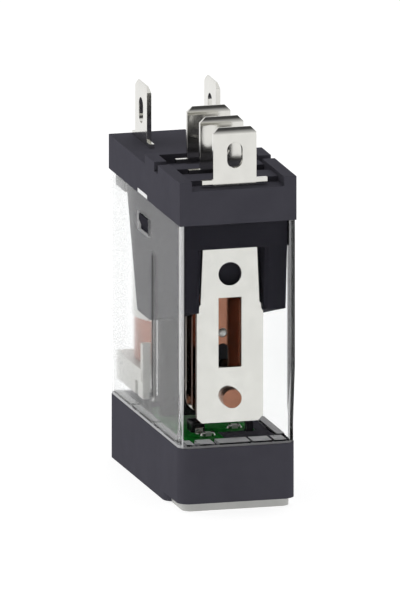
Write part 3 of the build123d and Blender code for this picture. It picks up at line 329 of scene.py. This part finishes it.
def cover_plastic(name):
    """Clear polycarbonate: polished ends and lightly frosted long sides, with satin moulded edges that
    carry painted light and shade: a painted highlight on the ledge and the near-left corner, and painted
    shade on the near-right corner, along the left rib and on the foot.
    """
    cloud_size, polish_size, grain_size, grain_height = 4 * MM, 0.8 * MM, 0.18 * MM, 0.0008 * MM
    edge_radius, grain_low, grain_high = 0.04 * MM, 0.38, 0.62
    side_roughness, satin_roughness, blue_gain = 0.1, 0.4, 1.02
    look = Look(name, IOR=1.06)
    side = look.sideways()
    away = look.math("SUBTRACT", 1.0, side)
    near = look.zone("Y", COVER_NEAR_WALL)
    left = look.spread(look.part("X"), 1.0, 0.0, -MM, MM)

    window_edge = look.product(look.zone("Y", WINDOW_EDGE_DEPTHS), look.zone("Z", WINDOW_EDGE_Z))
    window_floor = look.product(look.zone("Y", WINDOW_FLOOR_DEPTHS), look.zone("Z", WINDOW_FLOOR_Z))
    window = look.product(away, look.math("MAXIMUM", window_edge, window_floor))
    # The upward ledge of the foot is satin and light grey: a painted highlight.
    ledge_painted_highlight = look.product(look.upward(), look.zone("Z", FOOT_LEDGE_Z))
    # The satin foot is tinted dark grey on its near face and middle grey on its left side: painted shade.
    near_foot_painted_shade = look.product(near, away, look.zone("Z", FOOT_NEAR_Z))
    side_foot_painted_shade = look.product(left, side, look.zone("Z", FOOT_SIDE_Z))
    tab = look.band("Z", SEAM_Z + BORDER, SEAM_Z + MM)
    # The near-left corner is made satin so that it reads light grey: a painted highlight.
    left_corner_painted_light = look.product(near, look.zone("X", COVER_LEFT_CORNER))
    # The near-right corner is tinted dark grey: painted shade.
    right_corner_painted_shade = look.product(near, look.zone("X", COVER_RIGHT_CORNER))
    # Along the left rib the wall is tinted grey and frosted less: a painted line of shade.
    rib_painted_shade = look.product(left, side, look.zone("Y", COVER_RIB_DEPTHS), look.zone("Z", COVER_RIB_Z))

    grain = look.noise(grain_size, 2.0)
    frost = look.product(
        side,
        look.math("MAXIMUM", left, FROST_ON_RIGHT),
        look.spread(grain, *FROST_SATIN, grain_low, grain_high),
        look.spread(rib_painted_shade, 1.0, FROST_ON_RIB),
    )
    haze_start, haze_end = (NEAR + depth * MM for depth in HAZE_DEPTHS)
    haze = look.product(
        side,
        left,
        look.spread(look.part("Y"), 0.0, HAZE_SATIN, haze_start, haze_end),
        look.spread(grain, 0.7, 1.0, grain_low, grain_high),
    )
    satin = look.total(
        frost,
        haze,
        window,
        look.product(side_foot_painted_shade, SIDE_FOOT_SATIN),
        look.product(ledge_painted_highlight, LEDGE_HIGHLIGHT_SATIN),
        look.product(near_foot_painted_shade, NEAR_FOOT_SATIN),
        look.product(left_corner_painted_light, LEFT_CORNER_LIGHT_SATIN),
        look.product(tab, TAB_SATIN),
    )
    look.feed(look.math("SUBTRACT", 1.0, look.math("MINIMUM", satin, 1.0)), "Transmission Weight")

    tint = look.ramp(look.noise(cloud_size, 3.0), (0.98, 0.985, 0.985, 1), (0.995, 1.0, 1.0, 1))
    # Tints for painted light and shade.
    painted_light_and_shade = (
        (right_corner_painted_shade, RIGHT_CORNER_SHADE_GREY),
        (ledge_painted_highlight, LEDGE_HIGHLIGHT_GREY),
        (near_foot_painted_shade, NEAR_FOOT_SHADE_GREY),
        (side_foot_painted_shade, SIDE_FOOT_SHADE_GREY),
        (rib_painted_shade, RIB_SHADE_GREY),
    )
    for place, grey in painted_light_and_shade:
        tint = look.blend(place, tint, (grey, grey, grey * blue_gain, 1))
    look.feed(tint, "Base Color")
    polish = look.spread(look.noise(polish_size, 2.0), 0.01, 0.04)
    rough = look.total(polish, look.product(side, side_roughness), look.product(satin, satin_roughness))
    look.feed(rough, "Roughness")
    look.bump(grain, grain_height, look.soft_edges(edge_radius))
    return look.material


def laminate(name, mask_green, under_green):
    """Green solder mask with the weave of the glass cloth showing faintly through it."""
    thread_pitch, cloud_size, weave_height, edge_radius = 2.2 * MM, 1.2 * MM, 0.003 * MM, 0.05 * MM
    cloth_share, cloud_share = 0.3, 0.7
    look = Look(name, Specular_IOR_Level=0.03)
    threads = []
    for axis in "XY":
        inputs = {"Vector": look.place, "Scale": 1 / thread_pitch, "Distortion": 1.0}
        threads.append(look.node("ShaderNodeTexWave", inputs, bands_direction=axis).outputs["Fac"])
    cloth = look.product(*threads)
    cloud = look.noise(cloud_size, 3.0)
    mixed = look.total(look.product(cloth, cloth_share), look.product(cloud, cloud_share))
    look.feed(look.ramp(mixed, under_green, mask_green), "Base Color")
    look.feed(look.spread(cloud, 0.2, 0.4), "Roughness")
    look.bump(cloth, weave_height, look.soft_edges(edge_radius))
    return look.material


def paint(material, *names):
    """Put one material on several CAD nodes."""
    for name in names:
        slots = NODES[name].data.materials
        slots.clear()
        slots.append(material)


# Darker colour for the header under the cover: painted shade.
header_painted_shade = srgb(*DARK_PAINTED_SHADE)
dark_plastic = moulded_plastic("dark_plastic", srgb(*DARK), srgb(*DARK_SHADE), 0.002, 0.55, header_painted_shade)
cap_plastic = moulded_plastic("cap_plastic", srgb(*DARK), srgb(*DARK_SHADE), 0.002, 0.55)
barrier_plastic = moulded_plastic("barrier_plastic", srgb(26, 25, 30), srgb(22, 21, 26))
pale_plastic = moulded_plastic("bobbin_plastic", srgb(226, 225, 219), srgb(218, 217, 210), 0.35, 0.4)
flap_plastic = moulded_plastic("flap_plastic", srgb(206, 206, 203), srgb(200, 200, 197), 0.1)
flag_plastic = moulded_plastic("flag_plastic", srgb(214, 96, 30), srgb(204, 88, 26), 0.4, 0.4)
button_plastic = moulded_plastic("button_plastic", srgb(36, 35, 42), srgb(32, 31, 38), 0.3, 0.4)
card_plastic = moulded_plastic("card_plastic", srgb(246, 246, 243), srgb(238, 238, 234), 0.6, 0.12)
chip_plastic = moulded_plastic("chip_body", srgb(226, 226, 222), srgb(206, 206, 202), 0.4, 0.35)
epoxy = moulded_plastic("diode_body", srgb(16, 16, 17), srgb(12, 12, 13), 0.25, 0.4)
tape = moulded_plastic("coil_tape", srgb(246, 246, 243), srgb(241, 241, 237), 0.4, 0.25)
# Brown for the terminals' sides under the cover: bare copper cut edges with painted shade.
bare_and_shaded_tin_edge = srgb(84, 66, 54)
tin = plated_metal("plated_terminal", srgb(215, 214, 209), srgb(210, 209, 204), 0.1, bare_and_shaded_edge=bare_and_shaded_tin_edge)
solder = plated_metal("solder", srgb(214, 214, 211), srgb(190, 190, 187), 0.2, (0.4, 0.4, 0.4))
steel = plated_metal("magnet_steel", srgb(210, 210, 206), srgb(198, 198, 194), 0.15)
spring_steel = plated_metal("spring_steel", srgb(196, 196, 196), srgb(180, 180, 180), 0.18)
dark_steel = moulded_plastic("pin_metal", srgb(42, 42, 44), srgb(34, 34, 36), 0.3, 0.35)
shaded_copper_edge = srgb(*COPPER_EDGE_SHADE)
copper = plated_metal("copper", srgb(*COPPER), srgb(*COPPER_SHADE), 0.07, bare_and_shaded_edge=shaded_copper_edge)
wire = plated_metal("winding_wire", srgb(176, 122, 102), srgb(160, 108, 90), 0.22, (0.3, 0.3, 0.3))
board = laminate("board", srgb(4, 124, 30), srgb(2, 108, 22))
board_copper = laminate("board_copper", srgb(24, 150, 50), srgb(18, 136, 42))
clear = cover_plastic("clear_cover")
lens = clear_plastic("lens", (0.95, 0.97, 0.97, 1.0), 0.06, 1.45)
lamp_glow = clear_plastic("lamp_body", (0.55, 0.95, 0.6, 1.0), 0.15, 1.5)


def rivet_material(node, faces):
    """Copper with silver on the last stretch of a contact, at its far face, near face or both."""
    silver, beyond = 0.35 * MM, MM
    low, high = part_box(node)
    start = low[1] - beyond if "near" in faces else high[1] - silver
    end = high[1] + beyond if "far" in faces else low[1] + silver
    return contact_metal(node + "_metal", srgb(*COPPER), srgb(*COPPER_SHADE), start, end)


paint(dark_plastic, "header")
paint(cap_plastic, "end_cap")
paint(barrier_plastic, "insulating_barrier")
paint(clear, "cover")
paint(tin, "no_terminal", "common_terminal", "nc_terminal", "coil_terminal_left", "coil_terminal_right")
paint(copper, "contact_spring")
paint(rivet_material("no_contact", ("far",)), "no_contact")
paint(rivet_material("nc_contact", ("near",)), "nc_contact")
paint(rivet_material("moving_contact", ("near", "far")), "moving_contact")
paint(card_plastic, "card")
paint(pale_plastic, "bobbin")
paint(steel, "core", "yoke", "armature")
paint(spring_steel, "armature_spring", "button_spring", "flag_pin", "flap_pin", "spring_rivets")
paint(board, "circuit_board")
paint(epoxy, "diode")
paint(chip_plastic, "chip_resistors")
paint(dark_steel, "board_pins")
paint(lamp_glow, "lamp")
paint(lens, "lamp_lens", "flag_window")
paint(flag_plastic, "flag")
paint(button_plastic, "test_button")
paint(flap_plastic, "flap")


# ---------------------------------------------------------------------------------------------
# Mesh helpers
# ---------------------------------------------------------------------------------------------

# Edges sharper than this stay sharp in the shading
SHARP_DEGREES = 40

# Points closer than this are one point
WELD = 0.001 * MM


def piece(name, mesh, material, stands_for=()):
    """Turn a bmesh into a piece of the relay that rides on the case."""
    bmesh.ops.recalc_face_normals(mesh, faces=mesh.faces)
    data = bpy.data.meshes.new(name)
    mesh.to_mesh(data)
    mesh.free()
    data.materials.append(material)
    data.shade_smooth()
    data.set_sharp_from_angle(angle=math.radians(SHARP_DEGREES))
    made = bpy.data.objects.new(name, data)
    bpy.context.scene.collection.objects.link(made)
    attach(made, "case")
    if stands_for:
        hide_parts(*stands_for)


def join_rings(mesh, rings, closed_ends=True):
    """Skin a list of equal rings of points into one closed surface."""
    loops = [[mesh.verts.new(point) for point in ring] for ring in rings]
    count = len(loops[0])
    for first, second in zip(loops, loops[1:]):
        for i in range(count):
            j = (i + 1) % count
            mesh.faces.new((first[i], first[j], second[j], second[i]))
    if closed_ends:
        mesh.faces.new(loops[0][::-1])
        mesh.faces.new(loops[-1])
    else:
        for i in range(count):
            j = (i + 1) % count
            mesh.faces.new((loops[-1][i], loops[-1][j], loops[0][j], loops[0][i]))


def turned(mesh, centre, profile, segments=32, axis="Z", stretch=1.0):
    """Turned shape: profile is (radius, distance along the axis), from one closed end to the other."""
    rings = []
    for radius, along in profile:
        ring = []
        for i in range(segments):
            angle = math.tau * i / segments
            u, v = radius * math.cos(angle), radius * math.sin(angle) * stretch
            offset = Vector((u, v, along)) if axis == "Z" else Vector((u, along, v))
            ring.append(centre + offset)
        rings.append(ring)
    join_rings(mesh, rings)


def turned_in_mm(mesh, centre, profile, segments, stretch=1.0):
    """Upright turned shape with its profile in millimetres."""
    turned(mesh, centre, [(radius * MM, along * MM) for radius, along in profile], segments, "Z", stretch)


def round_ring(centre, z, radii):
    """Points round an upright axis, one for each radius."""
    ring = []
    for i, radius in enumerate(radii):
        angle = math.tau * i / len(radii)
        ring.append(Vector((centre.x + radius * math.cos(angle), centre.y + radius * math.sin(angle), z)))
    return ring


def tube(mesh, path, radius, segments=10):
    """Round wire along a list of points, the first stretch of which is upright."""
    rings = []
    side = Vector((1, 0, 0))
    for i, point in enumerate(path):
        before, after = path[max(i - 1, 0)], path[min(i + 1, len(path) - 1)]
        along = (after - before).normalized()
        side = (side - along * side.dot(along)).normalized()
        up = along.cross(side)
        angles = [math.tau * j / segments for j in range(segments)]
        rings.append([point + radius * (side * math.cos(a) + up * math.sin(a)) for a in angles])
    join_rings(mesh, rings)


def slab(mesh, low, high, bevel):
    """Block with rounded edges."""
    low, high = Vector(low), Vector(high)
    place = Matrix.Translation((low + high) / 2) @ Matrix.Diagonal((*(high - low), 1.0))
    corners = bmesh.ops.create_cube(mesh, size=1.0, matrix=place)["verts"]
    edges = list({edge for vert in corners for edge in vert.link_edges})
    bmesh.ops.bevel(mesh, geom=edges, offset=bevel, segments=2, profile=0.5, affect="EDGES")


def solids(node):
    """Boxes of a CAD node's separate solids, as (lowest corner, highest corner), in a fixed order."""
    mesh = bmesh.new()
    mesh.from_mesh(NODES[node].data)
    bmesh.ops.remove_doubles(mesh, verts=mesh.verts, dist=WELD)
    left = set(mesh.verts)
    boxes = []
    while left:
        reached, front = set(), [next(iter(left))]
        while front:
            vert = front.pop()
            if vert not in reached:
                reached.add(vert)
                front += [edge.other_vert(vert) for edge in vert.link_edges]
        left -= reached
        points = [vert.co for vert in reached]
        low = Vector(min(p[i] for p in points) for i in range(3))
        high = Vector(max(p[i] for p in points) for i in range(3))
        boxes.append((low, high))
    mesh.free()
    return sorted(boxes, key=lambda box: tuple(round(c, 6) for c in box[0]))


# ---------------------------------------------------------------------------------------------
# Coil
# ---------------------------------------------------------------------------------------------


def coil_turns():
    """Layer of enamelled wire: one helical groove all the way up a sleeve."""
    sleeve, groove, segments, rings_per_turn = 2.1 * MM, WIRE * 0.22, 72, 4
    low, high, centre = corners("coil_winding")
    outer = (high.x - low.x) / 2
    end_radii = (outer - sleeve, outer - groove)
    height = high.z - low.z
    steps = round(height / WIRE) * rings_per_turn
    rings = [round_ring(centre, low.z, [radius] * segments) for radius in end_radii]
    for step in range(1, steps):
        z = height * step / steps
        radii = []
        for i in range(segments):
            turn = z / WIRE - i / segments
            radii.append(outer - groove * (0.5 + 0.5 * math.cos(math.tau * turn)) ** 2)
        rings.append(round_ring(centre, low.z + z, radii))
    rings += [round_ring(centre, high.z, [radius] * segments) for radius in reversed(end_radii)]
    mesh = bmesh.new()
    join_rings(mesh, rings, closed_ends=False)
    piece("coil_turns", mesh, wire, stands_for=("coil_winding",))


def tape_wrap():
    """Strip of tape wound a little more than once, so that its end shows as a step."""
    thickness, lap_step, lap_depth = 0.055 * MM, 1.1, 2.2
    start, sweep = math.radians(200), math.radians(392)
    steps, levels = 180, 14
    ripple_height, ripple_climb, ripple_count, seed = 0.002 * MM, 900, 5, 4
    low, high, centre = corners("coil_tape")
    outer = (high.x - low.x) / 2
    chance = random.Random(seed)
    waves = []
    for _ in range(ripple_count):
        waves.append((chance.uniform(2, 7), chance.uniform(0, math.tau), chance.uniform(0.2, 1.0)))
    rings = []
    for i in range(steps + 1):
        share = i / steps
        angle = start + sweep * share
        base = outer - lap_depth * thickness + lap_step * thickness * share
        column = []
        for side in (0, 1):
            order = range(levels + 1) if side else range(levels, -1, -1)
            for level in order:
                z = low.z + (high.z - low.z) * level / levels
                ripple = sum(a * math.sin(k * angle + ripple_climb * z * k + p) for k, p, a in waves)
                radius = base + side * thickness + ripple * ripple_height
                x, y = centre.x + radius * math.cos(angle), centre.y + radius * math.sin(angle)
                column.append(Vector((x, y, z)))
        rings.append(column)
    mesh = bmesh.new()
    join_rings(mesh, rings)
    piece("tape_wrap", mesh, tape, stands_for=("coil_tape",))


SOLDER_BLOB = ((0, -0.25), (0.3, -0.2), (0.4, 0.0), (0.37, 0.25), (0.3, 0.5), (0.26, 0.62), (0, 0.64))


def coil_ends():
    """Wire from the winding up through each notch, wrapped round the terminal's tail and soldered."""
    tail_half_x, tail_half_y, tail_offset = 0.25 * MM, 0.6 * MM, 0.1 * MM
    straight, first_wrap, bow, pitch = 0.8 * MM, 0.15 * MM, 0.05 * MM, 2.1 * LEAD_RADIUS
    turns, per_turn, squareness = 4, 28, 0.5
    blob_height, blob_stretch = 0.75 * MM, 1.9
    half_x, half_y = tail_half_x + LEAD_RADIUS, tail_half_y + LEAD_RADIUS
    wires, blobs = bmesh.new(), bmesh.new()
    for (low, high), terminal in zip(solids("coil_leads"), ("coil_terminal_left", "coil_terminal_right")):
        tail_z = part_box(terminal)[0][2]
        middle = (low + high) / 2
        tail = Vector((middle.x, middle.y - tail_offset, 0))
        path = [Vector((middle.x, middle.y, low.z)), Vector((middle.x, middle.y, low.z + straight))]
        first = Vector((tail.x + half_x, tail.y, tail_z + first_wrap))
        for share in (0.3, 0.6, 0.85):
            path.append(path[1].lerp(first, share) + Vector((bow * math.sin(math.pi * share), 0, 0)))
        for step in range(turns * per_turn + 1):
            angle = math.tau * step / per_turn
            reach_x = math.copysign(abs(math.cos(angle)) ** squareness, math.cos(angle))
            reach_y = math.copysign(abs(math.sin(angle)) ** squareness, math.sin(angle))
            rise = tail_z + first_wrap + pitch * step / per_turn
            path.append(Vector((tail.x + half_x * reach_x, tail.y + half_y * reach_y, rise)))
        tube(wires, path, LEAD_RADIUS)
        top = Vector((tail.x, tail.y, tail_z + blob_height))
        turned_in_mm(blobs, top, SOLDER_BLOB, 28, blob_stretch)
    piece("coil_end_wires", wires, wire, stands_for=("coil_leads",))
    piece("coil_end_solder", blobs, solder)


# ---------------------------------------------------------------------------------------------
# Circuit board
# ---------------------------------------------------------------------------------------------

BOARD_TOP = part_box("circuit_board")[1][2]

# Routes of the tracks, in millimetres: across, and behind the near end
TRACES = (
    ((-4.4, 3.5), (-4.4, 8.6), (-3.7, 9.3), (-3.7, 13.5), (-4.3, 14.1), (-4.3, 18.9)),
    ((-0.9, 3.6), (-0.9, 5.7), (-1.1, 5.9)),
    ((-2.3, 5.9), (-2.9, 5.9), (-3.5, 6.5), (-3.5, 7.0), (-2.25, 7.2)),
    ((-2.25, 10.2), (-2.25, 11.0), (-1.2, 11.8)),
    ((0.0, 11.8), (2.2, 11.8), (3.1, 12.7), (3.1, 18.8)),
    ((2.5, 8.6), (3.2, 9.3), (3.2, 10.6)),
    ((1.3, 8.6), (-0.4, 8.6), (-0.9, 9.1), (-0.9, 10.4)),
)


# Profiles in millimetres: radius, and height above the board
VIA = ((0, -0.01), (0.3, -0.01), (0.3, 0.02), (0.26, 0.045), (0.13, 0.045), (0.11, 0.0), (0, -0.005))
PIN_FILLET = ((0, -0.01), (0.46, -0.01), (0.42, 0.03), (0.31, 0.1), (0.24, 0.22), (0.2, 0.38), (0, 0.4))
LEAD_PAD = ((0, 0.0), (0.52, 0.0), (0.48, 0.05), (0.3, 0.12), (0, 0.15))
CHIP_HEEL = ((0, 0.0), (0.3, 0.0), (0.26, 0.06), (0.16, 0.2), (0.1, 0.3), (0, 0.32))


def board_traces():
    """Copper tracks and vias, which stand a little proud under the green mask."""
    half, rise, sunk, overlap, top_share = 0.14 * MM, 0.03 * MM, 0.01 * MM, 0.4, 0.8
    mesh = bmesh.new()
    for route in TRACES:
        points = [spot(x, depth, 0) for x, depth in route]
        for first, second in zip(points, points[1:]):
            along = (second - first).normalized()
            side = along.cross(Vector((0, 0, 1))) * half
            rings = []
            for point in (first - along * half * overlap, second + along * half * overlap):
                low = Vector((point.x, point.y, BOARD_TOP - sunk))
                high = Vector((point.x, point.y, BOARD_TOP + rise))
                rings.append([low - side, high - side * top_share, high + side * top_share, low + side])
            join_rings(mesh, rings)
        for end in (points[0], points[-1]):
            turned_in_mm(mesh, Vector((end.x, end.y, BOARD_TOP)), VIA, 20)
    piece("board_traces", mesh, board_copper)


def solder_joints():
    """Concave fillets of solder round the pins, and pads of it under the leads."""
    pad_gap, heel_gap = 0.3 * MM, 0.02 * MM
    mesh = bmesh.new()
    for low, high in solids("board_pins"):
        foot = Vector(((low.x + high.x) / 2, (low.y + high.y) / 2, BOARD_TOP))
        turned_in_mm(mesh, foot, PIN_FILLET, 24)
    low, high, centre = corners("diode")
    for y in (low.y - pad_gap, high.y + pad_gap):
        turned_in_mm(mesh, Vector((centre.x, y, BOARD_TOP)), LEAD_PAD, 24)
    for low, high in solids("chip_resistors"):
        for x in (low.x - heel_gap, high.x + heel_gap):
            turned_in_mm(mesh, Vector((x, (low.y + high.y) / 2, BOARD_TOP)), CHIP_HEEL, 20)
    piece("solder_joints", mesh, solder)


def chip_ends():
    """Tinned ends that wrap over each chip."""
    skin, reach, bevel = 0.025 * MM, 0.24 * MM, 0.03 * MM
    mesh = bmesh.new()
    for low, high in solids("chip_resistors"):
        for inner, outer in ((low.x + reach, low.x - skin), (high.x - reach, high.x + skin)):
            near = (min(inner, outer), low.y - skin, low.z)
            far = (max(inner, outer), high.y + skin, high.z + skin)
            slab(mesh, near, far, bevel)
    piece("chip_ends", mesh, solder)


def diode_leads():
    """Flat leads that come out of each end of the diode and step down to the board."""
    sheet, half_width, lift = 0.12 * MM, 0.42 * MM, 0.02 * MM
    sunk, out, foot = -0.1 * MM, 0.22 * MM, 0.5 * MM
    low, high, centre = corners("diode")
    upper, lower = centre.z, BOARD_TOP + lift
    outline = [
        (sunk, upper),
        (out, upper),
        (out + 0.06 * MM, upper - 0.06 * MM),
        (out + 0.08 * MM, lower + sheet + 0.05 * MM),
        (out + 0.14 * MM, lower + sheet),
        (foot, lower + sheet),
        (foot, lower),
        (out + 0.05 * MM, lower),
        (out - 0.03 * MM, lower + 0.08 * MM),
        (out - 0.04 * MM, upper - sheet),
        (sunk, upper - sheet),
    ]
    mesh = bmesh.new()
    for side, face in ((-1, low.y), (1, high.y)):
        rings = []
        for x in (centre.x - half_width, centre.x + half_width):
            rings.append([Vector((x, face + side * reach, z)) for reach, z in outline])
        join_rings(mesh, rings)
    piece("diode_leads", mesh, solder)


# ---------------------------------------------------------------------------------------------
# Rivets of the moving spring
# ---------------------------------------------------------------------------------------------


def domed_rivets():
    """Spring rivets with domed heads in front and set heads behind."""
    head_height, tail_height, shank, tail = 0.3 * MM, 0.3 * MM, 0.4 * MM, 0.7 * MM
    mesh = bmesh.new()
    for low, high in solids("spring_rivets"):
        centre = Vector(((low.x + high.x) / 2, low.y, (low.z + high.z) / 2))
        length = high.y - low.y
        head = (high.x - low.x) / 2
        profile = [
            (0, 0.0),
            (head * 0.45, 0.02 * MM),
            (head * 0.8, 0.08 * MM),
            (head, 0.2 * MM),
            (head, head_height),
            (shank, head_height),
            (shank, length - tail_height),
            (tail, length - tail_height),
            (0.66 * MM, length - 0.12 * MM),
            (0.45 * MM, length - 0.04 * MM),
            (0.3 * MM, length - 0.1 * MM),
            (0, length - 0.12 * MM),
        ]
        turned(mesh, centre, profile, 32, axis="Y")
    piece("domed_rivets", mesh, spring_steel, stands_for=("spring_rivets",))


coil_turns()
tape_wrap()
coil_ends()
board_traces()
solder_joints()
chip_ends()
diode_leads()
domed_rivets()


# ---------------------------------------------------------------------------------------------
# Studio
# ---------------------------------------------------------------------------------------------


def light_tent():
    """White surroundings, darker above the horizon on the near side."""
    rise_span, fall_span, near_span, darkening = (-0.1, 0.28), (0.95, 0.75), (0.3, -0.5), 0.93
    world = bpy.data.worlds.new("tent")
    world.use_nodes = True
    nodes, links = world.node_tree.nodes, world.node_tree.links
    split = nodes.new("ShaderNodeSeparateXYZ")
    links.new(nodes.new("ShaderNodeTexCoord").outputs["Generated"], split.inputs[0])

    def step(axis, span):
        """0 where the direction along an axis is before the span, and 1 after it."""
        node = nodes.new("ShaderNodeMapRange")
        node.interpolation_type = "SMOOTHSTEP"
        node.inputs["From Min"].default_value, node.inputs["From Max"].default_value = span
        links.new(split.outputs[axis], node.inputs["Value"])
        return node.outputs["Result"]

    def arithmetic(operation, first, second):
        """One arithmetic step on numbers or sockets."""
        node = nodes.new("ShaderNodeMath")
        node.operation = operation
        for socket, value in zip(node.inputs, (first, second)):
            if isinstance(value, float):
                socket.default_value = value
            else:
                links.new(value, socket)
        return node.outputs[0]

    low_sky = arithmetic("MULTIPLY", step("Z", rise_span), step("Z", fall_span))
    shade = arithmetic("MULTIPLY", low_sky, step("Y", near_span))
    strength = arithmetic("SUBTRACT", 1.0, arithmetic("MULTIPLY", shade, darkening))
    background = nodes["Background"]
    background.inputs["Color"].default_value = (1.0, 1.0, 1.0, 1.0)
    links.new(strength, background.inputs["Strength"])
    bpy.context.scene.world = world


def pale_floor():
    """Wide pale floor just under the relay."""
    half, gap, cloud_size, glow = 1.5, 0.02 * MM, 30 * MM, 0.8
    mesh = bpy.data.meshes.new("floor")
    outline = [(-half, -half, 0), (half, -half, 0), (half, half, 0), (-half, half, 0)]
    mesh.from_pydata(outline, [], [(0, 1, 2, 3)])
    floor = bpy.data.objects.new("floor", mesh)
    floor.location.z = -gap
    bpy.context.scene.collection.objects.link(floor)
    look = Look("floor", Roughness=0.9, Specular_IOR_Level=0.0)
    look.feed(look.ramp(look.noise(cloud_size), (0.42, 0.42, 0.42, 1), (0.44, 0.44, 0.44, 1)), "Base Color")
    look.shader.inputs["Emission Color"].default_value = (1.0, 1.0, 1.0, 1.0)
    look.shader.inputs["Emission Strength"].default_value = glow
    mesh.materials.append(look.material)


def long_lens_camera():
    """Camera that looks along the length from a little to the left and above, with no perspective."""
    azimuth, elevation = math.radians(15.2), math.radians(13.0)
    aim, distance, frame_height, clip_range = (0.0, 1.06, 19.2), 0.25, 62.93, (1 * MM, 5.0)
    ahead = Vector((
        math.sin(azimuth) * math.cos(elevation),
        math.cos(azimuth) * math.cos(elevation),
        -math.sin(elevation),
    ))
    data = bpy.data.cameras.new("camera")
    data.type = "ORTHO"
    data.ortho_scale = frame_height * MM
    data.clip_start, data.clip_end = clip_range
    camera = bpy.data.objects.new("camera", data)
    camera.location = Vector(aim) * MM - ahead * distance
    camera.rotation_euler = ahead.to_track_quat("-Z", "Y").to_euler()
    bpy.context.scene.collection.objects.link(camera)
    bpy.context.scene.camera = camera


light_tent()
pale_floor()
long_lens_camera()
bpy.context.scene.view_settings.view_transform = "Standard"
